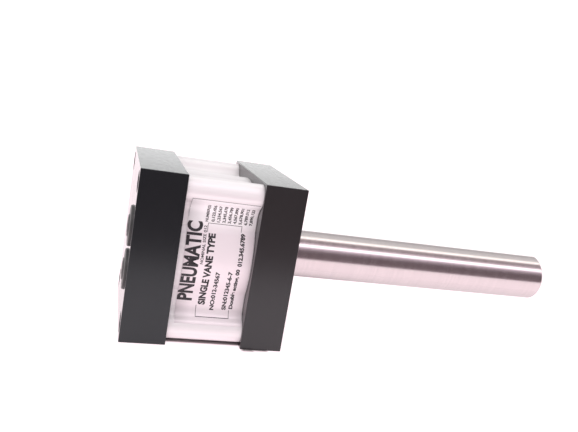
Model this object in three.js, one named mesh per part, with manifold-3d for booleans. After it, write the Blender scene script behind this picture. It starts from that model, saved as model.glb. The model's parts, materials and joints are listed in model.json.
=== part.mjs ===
// A rotary pneumatic actuator with one vane, in millimetres.
//
// The origin is the centre of the rear head's outer face, on the shaft's axis. +X runs along the
// shaft to its free end, +Z is up, and the label is on the -Y side. From back to front lie the rear
// head with its two ports, the barrel and the front head. Four tie bolts clamp them. Inside, the
// stator closes the chamber between the ports on the -Y side, and the shaft's vane points to +Y at
// mid-stroke, so it turns 140 degrees either way before it meets the stator.

import * as THREE from 'three';
import { mergeVertices } from 'three/addons/utils/BufferGeometryUtils.js';
import Module from 'manifold-3d';

const manifold = await Module();
manifold.setup();

// ---- Driving dimensions ----

const HEAD_SIDE = 69.85;
const HEAD_EDGE_BREAK = 0.5;
const REAR_HEAD_THICKNESS = 18.4;
const BARREL_LENGTH = 30.75;
const FRONT_HEAD_THICKNESS = 17.6;

const BORE_RADIUS = 28.575;
const BARREL_WALL = 3;
const TIE_BOLT_OFFSET = 28.7; // from the axis, in both Y and Z
const LOBE_RADIUS = 5.2; // round each tie bolt
const LOBE_FILLET_RADIUS = 6;
const WEB_FACE = 28.5; // axis to the flat web between a lobe and the round middle
const MIDDLE_FILLET_RADIUS = 3;

const SHAFT_RADIUS = 22.225 / 2;
const SHAFT_EXTENSION = 139.7; // beyond the front head
const SHAFT_TIP_CHAMFER = 1.2;
const HUB_RADIUS = 12.7;
const REAR_JOURNAL_RADIUS = 15.875 / 2;
const REAR_JOURNAL_START = 3.2;
const JOURNAL_CHAMFER = 0.6;
const HUB_END_PLAY = 0.1;
const RUNNING_CLEARANCE = 0.15;
const FITTED_GAP = 0.05; // between pieces that touch on the real object

const THRUST_WASHER_THICKNESS = 1.05;
const THRUST_RECESS_DEPTH = 1.2;
const THRUST_RECESS_RADIUS = 12.9;
const REAR_BORE_START = 2.2;
const BUSHING_WALL = 1.45;
const REAR_BUSHING_INSET = 0.6; // from the blind end of its bore
const FRONT_BUSHING_LENGTH = 8;
const SHOULDER_THICKNESS = 1;
const SHOULDER_RADIUS = 11.8;
const SEAL_BORE_RADIUS = 15.9;
const SEAL_LENGTH = 4.6;
const RING_GROOVE_RADIUS = 16.9;
const RING_GROOVE_WIDTH = 1.2;
const RING_CLEARANCE = 0.2;
const RING_THICKNESS = 1;
const RING_INNER_RADIUS = 14.3;
const RING_GAP_HALF_WIDTH = 3.2;
const RING_LUG_RADIUS = 1.9;
const RING_LUG_HOLE_RADIUS = 0.8;

const O_RING_RADIUS = 30.08; // centre of the section
const O_RING_SECTION_RADIUS = 0.7;
const O_RING_GROOVE_HALF_WIDTH = 0.88;
const O_RING_GROOVE_DEPTH = 1.5;

const TIE_BOLT_RADIUS = 4.826 / 2;
const TIE_BOLT_HOLE_RADIUS = 2.6;
const TIE_BOLT_HEAD_RADIUS = 3.96;
const TIE_BOLT_HEAD_HEIGHT = 4.83;
const TIE_BOLT_HEAD_RECESS = 0.4;
const TIE_BOLT_THREAD_LENGTH = 12; // in the front head
const COUNTERBORE_RADIUS = 4.3;
const DRILL_RUNOUT = 0.6; // how far a blind screw hole runs past its screw
const HEX_SOCKET_ACROSS_CORNERS = 4.58;
const HEX_SOCKET_DEPTH = 2.6;

const PORT_Y = -20;
const PORT_Z = 9.1; // up and down from the axis
const PORT_RADIUS = 6.85;
const PORT_DEPTH = 10.5;
const PORT_PASSAGE_RADIUS = 2.5;
const SPOT_FACE_RADIUS = 8.65;
const SPOT_FACE_DEPTH = 0.5;
const PLUG_FLANGE_RADIUS = 8.35;
const PLUG_FLANGE_HEIGHT = 0.95; // above the rear face
const PLUG_RIM = 0.3; // chamfer round the flange's face
const PLUG_BOSS_RADIUS = 4.6; // round the hexagon socket
const PLUG_BOSS_HEIGHT = 1.5; // above the rear face
const PLUG_STEM_RADIUS = 6.6;
const PLUG_STEM_TIP_RADIUS = 6.2;
const PLUG_STEM_LENGTH = 8;
const PLUG_SOCKET_RADIUS = 3.4;

const MOUNTING_HOLE_CIRCLE_RADIUS = 24;
const MOUNTING_HOLE_RADIUS = 2.55;
const MOUNTING_HOLE_DEPTH = 10;

const STATOR_HALF_ANGLE = THREE.MathUtils.degToRad(16.5);
const STATOR_SEAL_HALF_WIDTH = 1.9;
const STATOR_SEAL_BACK = 16;
const DOWEL_RADIUS = 2;
const DOWEL_DISTANCES = [20.2, 25.2]; // from the axis, toward -Y
const DOWEL_DEPTH = 4.8; // into each head

const VANE_CORE_HALF_THICKNESS = 3.175;
const VANE_CORE_ROOT = 8.5;
const VANE_CORE_TOP = 26;
const VANE_CORE_END_INSET = 1.5;
const VANE_SEAL_HALF_THICKNESS = 4.3;
const VANE_SEAL_ROOT_RADIUS = 13;
const VANE_SCREW_RADIUS = 1.75;
const VANE_SCREW_TOP = 20;
const VANE_SCREW_HEAD_RADIUS = 3.1;
const VANE_SCREW_HEAD_HEIGHT = 3.2;
const VANE_SCREW_HEAD_FACE = 11.6; // from the axis, toward -Y
const VANE_SCREW_SPACING = 9.5;
const VANE_SCREW_COUNT = 3;

const LABEL_HALF_HEIGHT = 25.8;
const LABEL_THICKNESS = 0.2;
const LABEL_REAR_MARGIN = 2.6;
const LABEL_FRONT_MARGIN = 0.3;

const FINE_SEGMENTS = 48; // round the bore
const HEX_SIDES = 6;
const MEDIUM_SEGMENTS = 32;
const SMALL_SEGMENTS = 16;
const ARC_STEPS = 4;
const LOBE_CORNER_ANGLE = 135; // where one side of the barrel hands over to the next

// ---- Places along X that follow from them ----

const BARREL_START = REAR_HEAD_THICKNESS;
const BARREL_END = BARREL_START + BARREL_LENGTH;
const FRONT_FACE = BARREL_END + FRONT_HEAD_THICKNESS;
const SHAFT_TIP = FRONT_FACE + SHAFT_EXTENSION;
const HALF_SIDE = HEAD_SIDE / 2;
const REAR_RECESS = BARREL_START - THRUST_RECESS_DEPTH;
const FRONT_RECESS = BARREL_END + THRUST_RECESS_DEPTH;
const SHOULDER_START = FRONT_RECESS + FRONT_BUSHING_LENGTH;
const SEAL_BORE_START = SHOULDER_START + SHOULDER_THICKNESS;
const RING_GROOVE_START = SEAL_BORE_START + SEAL_LENGTH + RING_CLEARANCE;
const HUB_START = BARREL_START + HUB_END_PLAY;
const HUB_END = BARREL_END - HUB_END_PLAY;
const REAR_BUSHING_RADIUS = REAR_JOURNAL_RADIUS + RUNNING_CLEARANCE + BUSHING_WALL;
const FRONT_BUSHING_RADIUS = SHAFT_RADIUS + RUNNING_CLEARANCE + BUSHING_WALL;
const TIE_BOLT_HEAD_SEAT = TIE_BOLT_HEAD_RECESS + TIE_BOLT_HEAD_HEIGHT;
const TIE_BOLT_TIP = BARREL_END + TIE_BOLT_THREAD_LENGTH;
const CUT = 1; // how far a cutting solid reaches past the face it cuts

// ---- Materials ----

const finish = (color, roughness, metalness) =>
  new THREE.MeshStandardMaterial({ color, roughness, metalness });
const BLACK_ANODISED = finish(0x2c2c30, 0.45, 0.5);
const CLEAR_ANODISED = finish(0xdedbdd, 0.35, 0.9);
const GROUND_STEEL = finish(0xb9b2b0, 0.25, 1);
const PLAIN_STEEL = finish(0x8c8c8e, 0.4, 1);
const BLACK_STEEL = finish(0x1d1d1f, 0.5, 0.8);
const BRONZE = finish(0xa9783e, 0.4, 0.9);
const BLACK_RUBBER = finish(0x141414, 0.85, 0);
const DARK_PLASTIC = finish(0x2b2b2d, 0.5, 0);
const LABEL_FILM = finish(0xe6e2e4, 0.4, 0.2);

// ---- Solids from three.js geometries ----

const X = new THREE.Vector3(1, 0, 0);
const Y = new THREE.Vector3(0, 1, 0);
const Z = new THREE.Vector3(0, 0, 1);
// An extrusion's outline is drawn in (Y, Z) and its length runs along X.
const EXTRUSION_TO_X = new THREE.Matrix4().makeBasis(Y, Z, X);
// A lathe or cylinder turned from its own Y axis to X.
const TURNED_TO_X = new THREE.Matrix4().makeBasis(Z, X, Y);

function signedVolume(position, index) {
  const corners = [new THREE.Vector3(), new THREE.Vector3(), new THREE.Vector3()];
  let volume = 0;
  for (let start = 0; start < index.count; start += 3) {
    corners.forEach((corner, k) => corner.fromBufferAttribute(position, index.getX(start + k)));
    volume += corners[0].dot(corners[1].clone().cross(corners[2])) / 6;
  }
  return volume;
}

function solidOf(geometry) {
  const bare = geometry.clone();
  bare.deleteAttribute('normal');
  bare.deleteAttribute('uv');
  const { attributes, index } = mergeVertices(bare);
  const triVerts = Uint32Array.from(index.array);
  if (signedVolume(attributes.position, index) < 0) {
    triVerts.reverse();
  }
  const vertProperties = Float32Array.from(attributes.position.array);
  return new manifold.Manifold(new manifold.Mesh({ numProp: 3, vertProperties, triVerts }));
}

function geometryOf(solid) {
  const mesh = solid.getMesh();
  const geometry = new THREE.BufferGeometry();
  geometry.setAttribute('position', new THREE.BufferAttribute(mesh.vertProperties, 3));
  geometry.setIndex(new THREE.BufferAttribute(mesh.triVerts, 1));
  geometry.computeVertexNormals();
  return geometry;
}

// A cylinder along X from start to end, with its axis at (y, z).
function rod(start, end, radius, segments, y = 0, z = 0, endRadius = radius) {
  const geometry = new THREE.CylinderGeometry(endRadius, radius, end - start, segments);
  geometry.applyMatrix4(TURNED_TO_X).translate((start + end) / 2, y, z);
  return solidOf(geometry);
}

// A cylinder along Y from start to end, at x on the shaft.
function crossRod(x, start, end, radius, segments) {
  const geometry = new THREE.CylinderGeometry(radius, radius, end - start, segments);
  return solidOf(geometry.translate(x, (start + end) / 2, 0));
}

// The [x, radius] corners of a closed section, turned about the shaft's axis.
function turned(corners, segments) {
  const section = [...corners, corners[0]].map(([x, radius]) => new THREE.Vector2(radius, x));
  return solidOf(new THREE.LatheGeometry(section, segments).applyMatrix4(TURNED_TO_X));
}

// The [x, radius] corners of a section that starts and ends on the shaft's axis.
function turnedFromAxis(corners, segments) {
  const section = corners.map(([x, radius]) => new THREE.Vector2(radius, x));
  return solidOf(new THREE.LatheGeometry(section, segments).applyMatrix4(TURNED_TO_X));
}

function ring(start, end, innerRadius, outerRadius, segments) {
  return turned(
    [[start, innerRadius], [end, innerRadius], [end, outerRadius], [start, outerRadius]],
    segments,
  );
}

function extruded(points, start, end) {
  const shape = new THREE.Shape(points);
  const geometry = new THREE.ExtrudeGeometry(shape, { depth: end - start, bevelEnabled: false });
  return solidOf(geometry.applyMatrix4(EXTRUSION_TO_X).translate(start, 0, 0));
}

function block(start, end, low, high) {
  const geometry = new THREE.BoxGeometry(end - start, high[0] - low[0], high[1] - low[1]);
  geometry.translate((start + end) / 2, (low[0] + high[0]) / 2, (low[1] + high[1]) / 2);
  return solidOf(geometry);
}

function arc(centreX, centreY, radius, fromDegrees, toDegrees, steps) {
  const points = [];
  for (let step = 0; step <= steps; step += 1) {
    const degrees = fromDegrees + ((toDegrees - fromDegrees) * step) / steps;
    const angle = THREE.MathUtils.degToRad(degrees);
    points.push(new THREE.Vector2(
      centreX + radius * Math.cos(angle),
      centreY + radius * Math.sin(angle),
    ));
  }
  return points;
}

const allCut = (solid, cutters) => cutters.reduce((left, cutter) => left.subtract(cutter), solid);
const TIE_BOLT_PLACES = [[-1, 1], [1, 1], [1, -1], [-1, -1]]
  .map(([y, z]) => [y * TIE_BOLT_OFFSET, z * TIE_BOLT_OFFSET]);
const PORT_PLACES = [[PORT_Y, PORT_Z], [PORT_Y, -PORT_Z]];

// ---- Heads ----

function headBlank(start, end) {
  const half = HALF_SIDE - HEAD_EDGE_BREAK;
  const outline = [[-half, -half], [half, -half], [half, half], [-half, half]]
    .map(([y, z]) => new THREE.Vector2(y, z));
  const geometry = new THREE.ExtrudeGeometry(new THREE.Shape(outline), {
    depth: end - start - 2 * HEAD_EDGE_BREAK,
    bevelThickness: HEAD_EDGE_BREAK,
    bevelSize: HEAD_EDGE_BREAK,
    bevelSegments: 1,
  });
  geometry.applyMatrix4(EXTRUSION_TO_X).translate(start + HEAD_EDGE_BREAK, 0, 0);
  return solidOf(geometry);
}

function oRingGroove(start, end) {
  const inner = O_RING_RADIUS - O_RING_GROOVE_HALF_WIDTH;
  const outer = O_RING_RADIUS + O_RING_GROOVE_HALF_WIDTH;
  return ring(start, end, inner, outer, FINE_SEGMENTS);
}

function dowelHoles(start, end) {
  const radius = DOWEL_RADIUS + FITTED_GAP;
  return DOWEL_DISTANCES.map((distance) => rod(start, end, radius, SMALL_SEGMENTS, -distance, 0));
}

function rearHead() {
  const inside = BARREL_START + CUT;
  const cutters = [
    rod(REAR_BORE_START, inside, REAR_BUSHING_RADIUS + FITTED_GAP, MEDIUM_SEGMENTS),
    rod(REAR_RECESS, inside, THRUST_RECESS_RADIUS, MEDIUM_SEGMENTS),
    oRingGroove(BARREL_START - O_RING_GROOVE_DEPTH, inside),
    ...dowelHoles(BARREL_START - DOWEL_DEPTH, inside),
  ];
  for (const [y, z] of PORT_PLACES) {
    cutters.push(rod(-CUT, SPOT_FACE_DEPTH, SPOT_FACE_RADIUS, MEDIUM_SEGMENTS, y, z));
    cutters.push(rod(-CUT, PORT_DEPTH, PORT_RADIUS, MEDIUM_SEGMENTS, y, z));
    cutters.push(rod(-CUT, inside, PORT_PASSAGE_RADIUS, SMALL_SEGMENTS, y, z));
  }
  for (const [y, z] of TIE_BOLT_PLACES) {
    const seat = TIE_BOLT_HEAD_SEAT + FITTED_GAP;
    cutters.push(rod(-CUT, seat, COUNTERBORE_RADIUS, SMALL_SEGMENTS, y, z));
    cutters.push(rod(-CUT, inside, TIE_BOLT_HOLE_RADIUS, SMALL_SEGMENTS, y, z));
  }
  return allCut(headBlank(0, BARREL_START), cutters);
}

function frontHead() {
  const inside = BARREL_END - CUT;
  const outside = FRONT_FACE + CUT;
  const grooveEnd = RING_GROOVE_START + RING_GROOVE_WIDTH;
  const cutters = [
    rod(inside, FRONT_RECESS, THRUST_RECESS_RADIUS + FITTED_GAP, MEDIUM_SEGMENTS),
    rod(inside, SHOULDER_START, FRONT_BUSHING_RADIUS + FITTED_GAP, MEDIUM_SEGMENTS),
    rod(inside, outside, SHOULDER_RADIUS, MEDIUM_SEGMENTS),
    rod(SEAL_BORE_START, outside, SEAL_BORE_RADIUS, MEDIUM_SEGMENTS),
    rod(RING_GROOVE_START, grooveEnd, RING_GROOVE_RADIUS, MEDIUM_SEGMENTS),
    oRingGroove(inside, BARREL_END + O_RING_GROOVE_DEPTH),
    ...dowelHoles(inside, BARREL_END + DOWEL_DEPTH),
  ];
  for (const [y, z] of TIE_BOLT_PLACES) {
    const radius = TIE_BOLT_RADIUS + FITTED_GAP;
    cutters.push(rod(inside, TIE_BOLT_TIP + DRILL_RUNOUT, radius, SMALL_SEGMENTS, y, z));
  }
  for (const [y, z] of [[1, 0], [0, 1], [-1, 0], [0, -1]]) {
    const start = FRONT_FACE - MOUNTING_HOLE_DEPTH;
    const centre = [y * MOUNTING_HOLE_CIRCLE_RADIUS, z * MOUNTING_HOLE_CIRCLE_RADIUS];
    cutters.push(rod(start, outside, MOUNTING_HOLE_RADIUS, SMALL_SEGMENTS, ...centre));
  }
  return allCut(headBlank(BARREL_END, FRONT_FACE), cutters);
}

// ---- Barrel and label ----

// One side of the barrel's outline, moved outward by offset and drawn facing up, from left to right:
// lobe, fillet, web, fillet, round middle, and back. It starts and ends at the given angle on its lobes.
function barrelSide(offset, lobeAngle, lobeSteps) {
  const lobeRadius = LOBE_RADIUS + offset;
  const filletRadius = LOBE_FILLET_RADIUS - offset;
  const filletHeight = WEB_FACE + LOBE_FILLET_RADIUS;
  const filletRise = filletHeight - TIE_BOLT_OFFSET;
  const filletReach = Math.sqrt((LOBE_RADIUS + LOBE_FILLET_RADIUS) ** 2 - filletRise ** 2);
  const filletX = TIE_BOLT_OFFSET - filletReach;
  const joinAngle = THREE.MathUtils.radToDeg(Math.atan2(filletRise, filletReach));
  const middleRadius = BORE_RADIUS + BARREL_WALL;
  const middleFilletHeight = WEB_FACE + MIDDLE_FILLET_RADIUS;
  const middleFilletX = Math.sqrt((middleRadius + MIDDLE_FILLET_RADIUS) ** 2 - middleFilletHeight ** 2);
  const lean = THREE.MathUtils.radToDeg(Math.atan2(middleFilletX, middleFilletHeight));
  const leftHalf = [
    ...arc(-TIE_BOLT_OFFSET, TIE_BOLT_OFFSET, lobeRadius, lobeAngle, joinAngle, lobeSteps),
    ...arc(-filletX, filletHeight, filletRadius, 180 + joinAngle, 270, ARC_STEPS).slice(1),
    ...arc(-middleFilletX, middleFilletHeight, MIDDLE_FILLET_RADIUS - offset, 270, 270 + lean, ARC_STEPS),
    ...arc(0, 0, middleRadius + offset, 90 + lean, 90, ARC_STEPS).slice(1),
  ];
  const rightHalf = leftHalf.slice(0, -1).reverse().map(({ x, y }) => new THREE.Vector2(-x, y));
  return [...leftHalf, ...rightHalf];
}

function barrel() {
  const outline = [];
  for (let side = 0; side < 4; side += 1) {
    const turn = (-side * Math.PI) / 2;
    const points = barrelSide(0, LOBE_CORNER_ANGLE, 2 * ARC_STEPS).slice(1);
    outline.push(...points.map((point) => point.rotateAround(new THREE.Vector2(), turn)));
  }
  const start = BARREL_START + FITTED_GAP;
  const end = BARREL_END - FITTED_GAP;
  const cutters = [rod(start - CUT, end + CUT, BORE_RADIUS, FINE_SEGMENTS)];
  for (const [y, z] of TIE_BOLT_PLACES) {
    cutters.push(rod(start - CUT, end + CUT, TIE_BOLT_HOLE_RADIUS, SMALL_SEGMENTS, y, z));
  }
  return allCut(extruded(outline, start, end), cutters);
}

function label() {
  const edgeCosine = (TIE_BOLT_OFFSET - LABEL_HALF_HEIGHT) / LOBE_RADIUS;
  const edgeAngle = THREE.MathUtils.radToDeg(Math.acos(edgeCosine));
  const under = barrelSide(FITTED_GAP, edgeAngle, 2);
  const over = barrelSide(FITTED_GAP + LABEL_THICKNESS, edgeAngle, 2).reverse();
  const towardMinusY = ({ x, y }) => new THREE.Vector2(-y, x);
  const outline = [...under, ...over].map(towardMinusY);
  return extruded(outline, BARREL_START + LABEL_REAR_MARGIN, BARREL_END - LABEL_FRONT_MARGIN);
}

// ---- Stator ----

function stator() {
  const innerRadius = HUB_RADIUS + 2 * RUNNING_CLEARANCE;
  const outerRadius = BORE_RADIUS - 2 * FITTED_GAP;
  const start = BARREL_START + 2 * FITTED_GAP;
  const end = BARREL_END - 2 * FITTED_GAP;
  const reach = 2 * BORE_RADIUS;
  const sideways = reach * Math.tan(STATOR_HALF_ANGLE);
  const wedge = [[0, 0], [-reach, sideways], [-reach, -sideways]]
    .map(([y, z]) => new THREE.Vector2(y, z));
  const sealWidth = STATOR_SEAL_HALF_WIDTH + FITTED_GAP;
  const sealSlot = block(
    start - CUT, end + CUT,
    [-STATOR_SEAL_BACK - FITTED_GAP, -sealWidth], [0, sealWidth],
  );
  const sector = extruded(wedge, start, end)
    .intersect(ring(start - CUT, end + CUT, innerRadius, outerRadius, FINE_SEGMENTS));
  return allCut(sector, [sealSlot, ...dowelHoles(start - CUT, end + CUT)]);
}

function statorSeal() {
  const start = BARREL_START + RUNNING_CLEARANCE;
  const end = BARREL_END - RUNNING_CLEARANCE;
  const strip = block(
    start, end,
    [-STATOR_SEAL_BACK, -STATOR_SEAL_HALF_WIDTH], [0, STATOR_SEAL_HALF_WIDTH],
  );
  return strip.subtract(rod(start - CUT, end + CUT, HUB_RADIUS + RUNNING_CLEARANCE, FINE_SEGMENTS));
}

function statorDowel(distance) {
  const start = BARREL_START - DOWEL_DEPTH + 2 * FITTED_GAP;
  const end = BARREL_END + DOWEL_DEPTH - 2 * FITTED_GAP;
  return rod(start, end, DOWEL_RADIUS, SMALL_SEGMENTS, -distance, 0);
}

// ---- Bearings and seals ----

function rearBushing() {
  const innerRadius = REAR_JOURNAL_RADIUS + RUNNING_CLEARANCE;
  const start = REAR_BORE_START + REAR_BUSHING_INSET;
  return ring(start, REAR_RECESS - 2 * FITTED_GAP, innerRadius, REAR_BUSHING_RADIUS, MEDIUM_SEGMENTS);
}

function frontBushing() {
  const innerRadius = SHAFT_RADIUS + RUNNING_CLEARANCE;
  const start = FRONT_RECESS + 2 * FITTED_GAP;
  return ring(start, SHOULDER_START - FITTED_GAP, innerRadius, FRONT_BUSHING_RADIUS, MEDIUM_SEGMENTS);
}

function thrustWasher(start, shaftRadius) {
  const innerRadius = shaftRadius + 2 * RUNNING_CLEARANCE;
  const outerRadius = THRUST_RECESS_RADIUS - 2 * FITTED_GAP;
  return ring(start, start + THRUST_WASHER_THICKNESS, innerRadius, outerRadius, MEDIUM_SEGMENTS);
}

function shaftSeal() {
  const start = SEAL_BORE_START + FITTED_GAP;
  const end = start + SEAL_LENGTH;
  const lip = SHAFT_RADIUS + RUNNING_CLEARANCE;
  const outside = SEAL_BORE_RADIUS - FITTED_GAP;
  const section = [
    [end, outside], [end, lip + 0.7], [end - 0.9, lip], [end - 1.7, lip + 0.8],
    [start + 1.5, lip], [start + 0.7, lip + 0.9], [start + 1.5, lip + 1.7],
    [end - 1.4, lip + 2.1], [end - 1.4, outside - 0.9], [start, outside - 0.9], [start, outside],
  ];
  return turned(section, MEDIUM_SEGMENTS);
}

function retainingRing() {
  const start = RING_GROOVE_START + (RING_GROOVE_WIDTH - RING_THICKNESS) / 2;
  const end = start + RING_THICKNESS;
  const outerRadius = RING_GROOVE_RADIUS - RING_CLEARANCE;
  const opening = block(
    start - CUT, end + CUT,
    [-RING_GAP_HALF_WIDTH, -outerRadius - CUT], [RING_GAP_HALF_WIDTH, 0],
  );
  let solid = ring(start, end, RING_INNER_RADIUS, outerRadius, MEDIUM_SEGMENTS).subtract(opening);
  const lugRow = RING_INNER_RADIUS - 0.4;
  for (const side of [-1, 1]) {
    const y = side * (RING_GAP_HALF_WIDTH + RING_LUG_RADIUS);
    const z = -Math.sqrt(lugRow ** 2 - y ** 2);
    const hole = rod(start - CUT, end + CUT, RING_LUG_HOLE_RADIUS, SMALL_SEGMENTS / 2, y, z);
    solid = solid.add(rod(start, end, RING_LUG_RADIUS, SMALL_SEGMENTS, y, z)).subtract(hole);
  }
  return solid;
}

function bodyORing(grooveFloor) {
  const sectionSegments = 6;
  const geometry = new THREE.TorusGeometry(
    O_RING_RADIUS, O_RING_SECTION_RADIUS, sectionSegments, FINE_SEGMENTS,
  );
  return solidOf(geometry.applyMatrix4(EXTRUSION_TO_X).translate(grooveFloor, 0, 0));
}

// ---- Fasteners and plugs ----

function tieBolt(y, z) {
  const top = TIE_BOLT_HEAD_RECESS;
  const head = rod(top, TIE_BOLT_HEAD_SEAT, TIE_BOLT_HEAD_RADIUS, SMALL_SEGMENTS, y, z);
  const shank = rod(top + CUT, TIE_BOLT_TIP, TIE_BOLT_RADIUS, SMALL_SEGMENTS, y, z);
  const socketFloor = top + HEX_SOCKET_DEPTH;
  const socket = rod(-CUT, socketFloor, HEX_SOCKET_ACROSS_CORNERS / 2, HEX_SIDES, y, z);
  return head.add(shank).subtract(socket);
}

function portPlug(y, z) {
  const crownBase = -PLUG_FLANGE_HEIGHT + PLUG_RIM;
  const crownRadius = PLUG_FLANGE_RADIUS - PLUG_RIM;
  const seat = SPOT_FACE_DEPTH - FITTED_GAP;
  const flange = rod(crownBase, seat, PLUG_FLANGE_RADIUS, MEDIUM_SEGMENTS, y, z);
  const crown = rod(-PLUG_FLANGE_HEIGHT, crownBase, crownRadius, MEDIUM_SEGMENTS, y, z, PLUG_FLANGE_RADIUS);
  const boss = rod(-PLUG_BOSS_HEIGHT, 0, PLUG_BOSS_RADIUS, MEDIUM_SEGMENTS, y, z);
  const stem = rod(0, PLUG_STEM_LENGTH, PLUG_STEM_RADIUS, MEDIUM_SEGMENTS, y, z, PLUG_STEM_TIP_RADIUS);
  const socket = rod(-PLUG_BOSS_HEIGHT - CUT, 0, PLUG_SOCKET_RADIUS, HEX_SIDES, y, z);
  return flange.add(crown).add(boss).add(stem).subtract(socket);
}

// ---- Rotor ----

const VANE_SCREW_XS = Array.from({ length: VANE_SCREW_COUNT }, (_, place) =>
  (BARREL_START + BARREL_END) / 2 + (place - (VANE_SCREW_COUNT - 1) / 2) * VANE_SCREW_SPACING);

function vaneCoreBlock(gap) {
  return block(
    BARREL_START + VANE_CORE_END_INSET - gap, BARREL_END - VANE_CORE_END_INSET + gap,
    [VANE_CORE_ROOT - gap, -VANE_CORE_HALF_THICKNESS - gap],
    [VANE_CORE_TOP + gap, VANE_CORE_HALF_THICKNESS + gap],
  );
}

function shaft() {
  const body = turnedFromAxis(
    [
      [REAR_JOURNAL_START, 0],
      [REAR_JOURNAL_START, REAR_JOURNAL_RADIUS - JOURNAL_CHAMFER],
      [REAR_JOURNAL_START + JOURNAL_CHAMFER, REAR_JOURNAL_RADIUS],
      [HUB_START, REAR_JOURNAL_RADIUS],
      [HUB_START, HUB_RADIUS],
      [HUB_END, HUB_RADIUS],
      [HUB_END, SHAFT_RADIUS],
      [SHAFT_TIP - SHAFT_TIP_CHAMFER, SHAFT_RADIUS],
      [SHAFT_TIP, SHAFT_RADIUS - SHAFT_TIP_CHAMFER],
      [SHAFT_TIP, 0],
    ],
    MEDIUM_SEGMENTS,
  );
  const cutters = [vaneCoreBlock(FITTED_GAP)];
  for (const x of VANE_SCREW_XS) {
    const headSeat = -VANE_SCREW_HEAD_FACE + VANE_SCREW_HEAD_HEIGHT + FITTED_GAP;
    const headRadius = VANE_SCREW_HEAD_RADIUS + 2 * FITTED_GAP;
    const holeRadius = VANE_SCREW_RADIUS + 2 * FITTED_GAP;
    cutters.push(crossRod(x, -HUB_RADIUS - CUT, headSeat, headRadius, SMALL_SEGMENTS));
    cutters.push(crossRod(x, -HUB_RADIUS, VANE_CORE_ROOT + CUT, holeRadius, SMALL_SEGMENTS));
  }
  return allCut(body, cutters);
}

function vaneCore() {
  const holeRadius = VANE_SCREW_RADIUS + FITTED_GAP;
  const holes = VANE_SCREW_XS.map((x) =>
    crossRod(x, 0, VANE_SCREW_TOP + DRILL_RUNOUT, holeRadius, SMALL_SEGMENTS));
  return allCut(vaneCoreBlock(0), holes);
}

function vaneSeal() {
  const start = BARREL_START + RUNNING_CLEARANCE;
  const end = BARREL_END - RUNNING_CLEARANCE;
  const wiped = BORE_RADIUS - 2 * RUNNING_CLEARANCE;
  return block(
    start, end,
    [0, -VANE_SEAL_HALF_THICKNESS], [BORE_RADIUS, VANE_SEAL_HALF_THICKNESS],
  )
    .intersect(ring(start - CUT, end + CUT, VANE_SEAL_ROOT_RADIUS, wiped, 2 * FINE_SEGMENTS))
    .subtract(vaneCoreBlock(FITTED_GAP));
}

function vaneScrew(x) {
  const headSeat = -VANE_SCREW_HEAD_FACE + VANE_SCREW_HEAD_HEIGHT;
  const head = crossRod(x, -VANE_SCREW_HEAD_FACE, headSeat, VANE_SCREW_HEAD_RADIUS, SMALL_SEGMENTS);
  const shank = crossRod(x, headSeat - CUT, VANE_SCREW_TOP, VANE_SCREW_RADIUS, SMALL_SEGMENTS);
  const socketFloor = -VANE_SCREW_HEAD_FACE + HEX_SOCKET_DEPTH / 2;
  const socket = crossRod(x, -HUB_RADIUS - CUT, socketFloor, VANE_SCREW_RADIUS, HEX_SIDES);
  return head.add(shank).subtract(socket);
}

// ---- The assembly ----

const actuator = new THREE.Group();
const housing = new THREE.Group();
const rotor = new THREE.Group();
actuator.add(housing, rotor);

function addPiece(group, name, solid, material) {
  const mesh = new THREE.Mesh(geometryOf(solid), material);
  mesh.name = name;
  group.add(mesh);
}

addPiece(housing, 'rear_head', rearHead(), BLACK_ANODISED);
addPiece(housing, 'front_head', frontHead(), BLACK_ANODISED);
addPiece(housing, 'barrel', barrel(), CLEAR_ANODISED);
addPiece(housing, 'label', label(), LABEL_FILM);
addPiece(housing, 'stator', stator(), CLEAR_ANODISED);
addPiece(housing, 'stator_seal', statorSeal(), BLACK_RUBBER);
DOWEL_DISTANCES.forEach((distance, place) =>
  addPiece(housing, `stator_dowel_${place + 1}`, statorDowel(distance), PLAIN_STEEL));
addPiece(housing, 'rear_bushing', rearBushing(), BRONZE);
addPiece(housing, 'front_bushing', frontBushing(), BRONZE);
addPiece(
  housing, 'rear_thrust_washer',
  thrustWasher(REAR_RECESS + FITTED_GAP, REAR_JOURNAL_RADIUS), PLAIN_STEEL,
);
addPiece(
  housing, 'front_thrust_washer',
  thrustWasher(FRONT_RECESS - FITTED_GAP - THRUST_WASHER_THICKNESS, SHAFT_RADIUS), PLAIN_STEEL,
);
addPiece(housing, 'shaft_seal', shaftSeal(), BLACK_RUBBER);
addPiece(housing, 'retaining_ring', retainingRing(), BLACK_STEEL);
addPiece(
  housing, 'rear_body_o_ring',
  bodyORing(BARREL_START - O_RING_GROOVE_DEPTH / 2), BLACK_RUBBER,
);
addPiece(
  housing, 'front_body_o_ring',
  bodyORing(BARREL_END + O_RING_GROOVE_DEPTH / 2), BLACK_RUBBER,
);
TIE_BOLT_PLACES.forEach(([y, z], place) =>
  addPiece(housing, `tie_bolt_${place + 1}`, tieBolt(y, z), BLACK_STEEL));
PORT_PLACES.forEach(([y, z], place) =>
  addPiece(housing, ['port_plug_upper', 'port_plug_lower'][place], portPlug(y, z), DARK_PLASTIC));

addPiece(rotor, 'shaft', shaft(), GROUND_STEEL);
addPiece(rotor, 'vane_core', vaneCore(), PLAIN_STEEL);
addPiece(rotor, 'vane_seal', vaneSeal(), BLACK_RUBBER);
VANE_SCREW_XS.forEach((x, place) =>
  addPiece(rotor, `vane_screw_${place + 1}`, vaneScrew(x), BLACK_STEEL));

export default actuator;
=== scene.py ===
"""The looks of a rotary pneumatic actuator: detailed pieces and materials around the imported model."""
import json
import math
import bmesh
import bpy
from mathutils import Matrix, Vector


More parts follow.
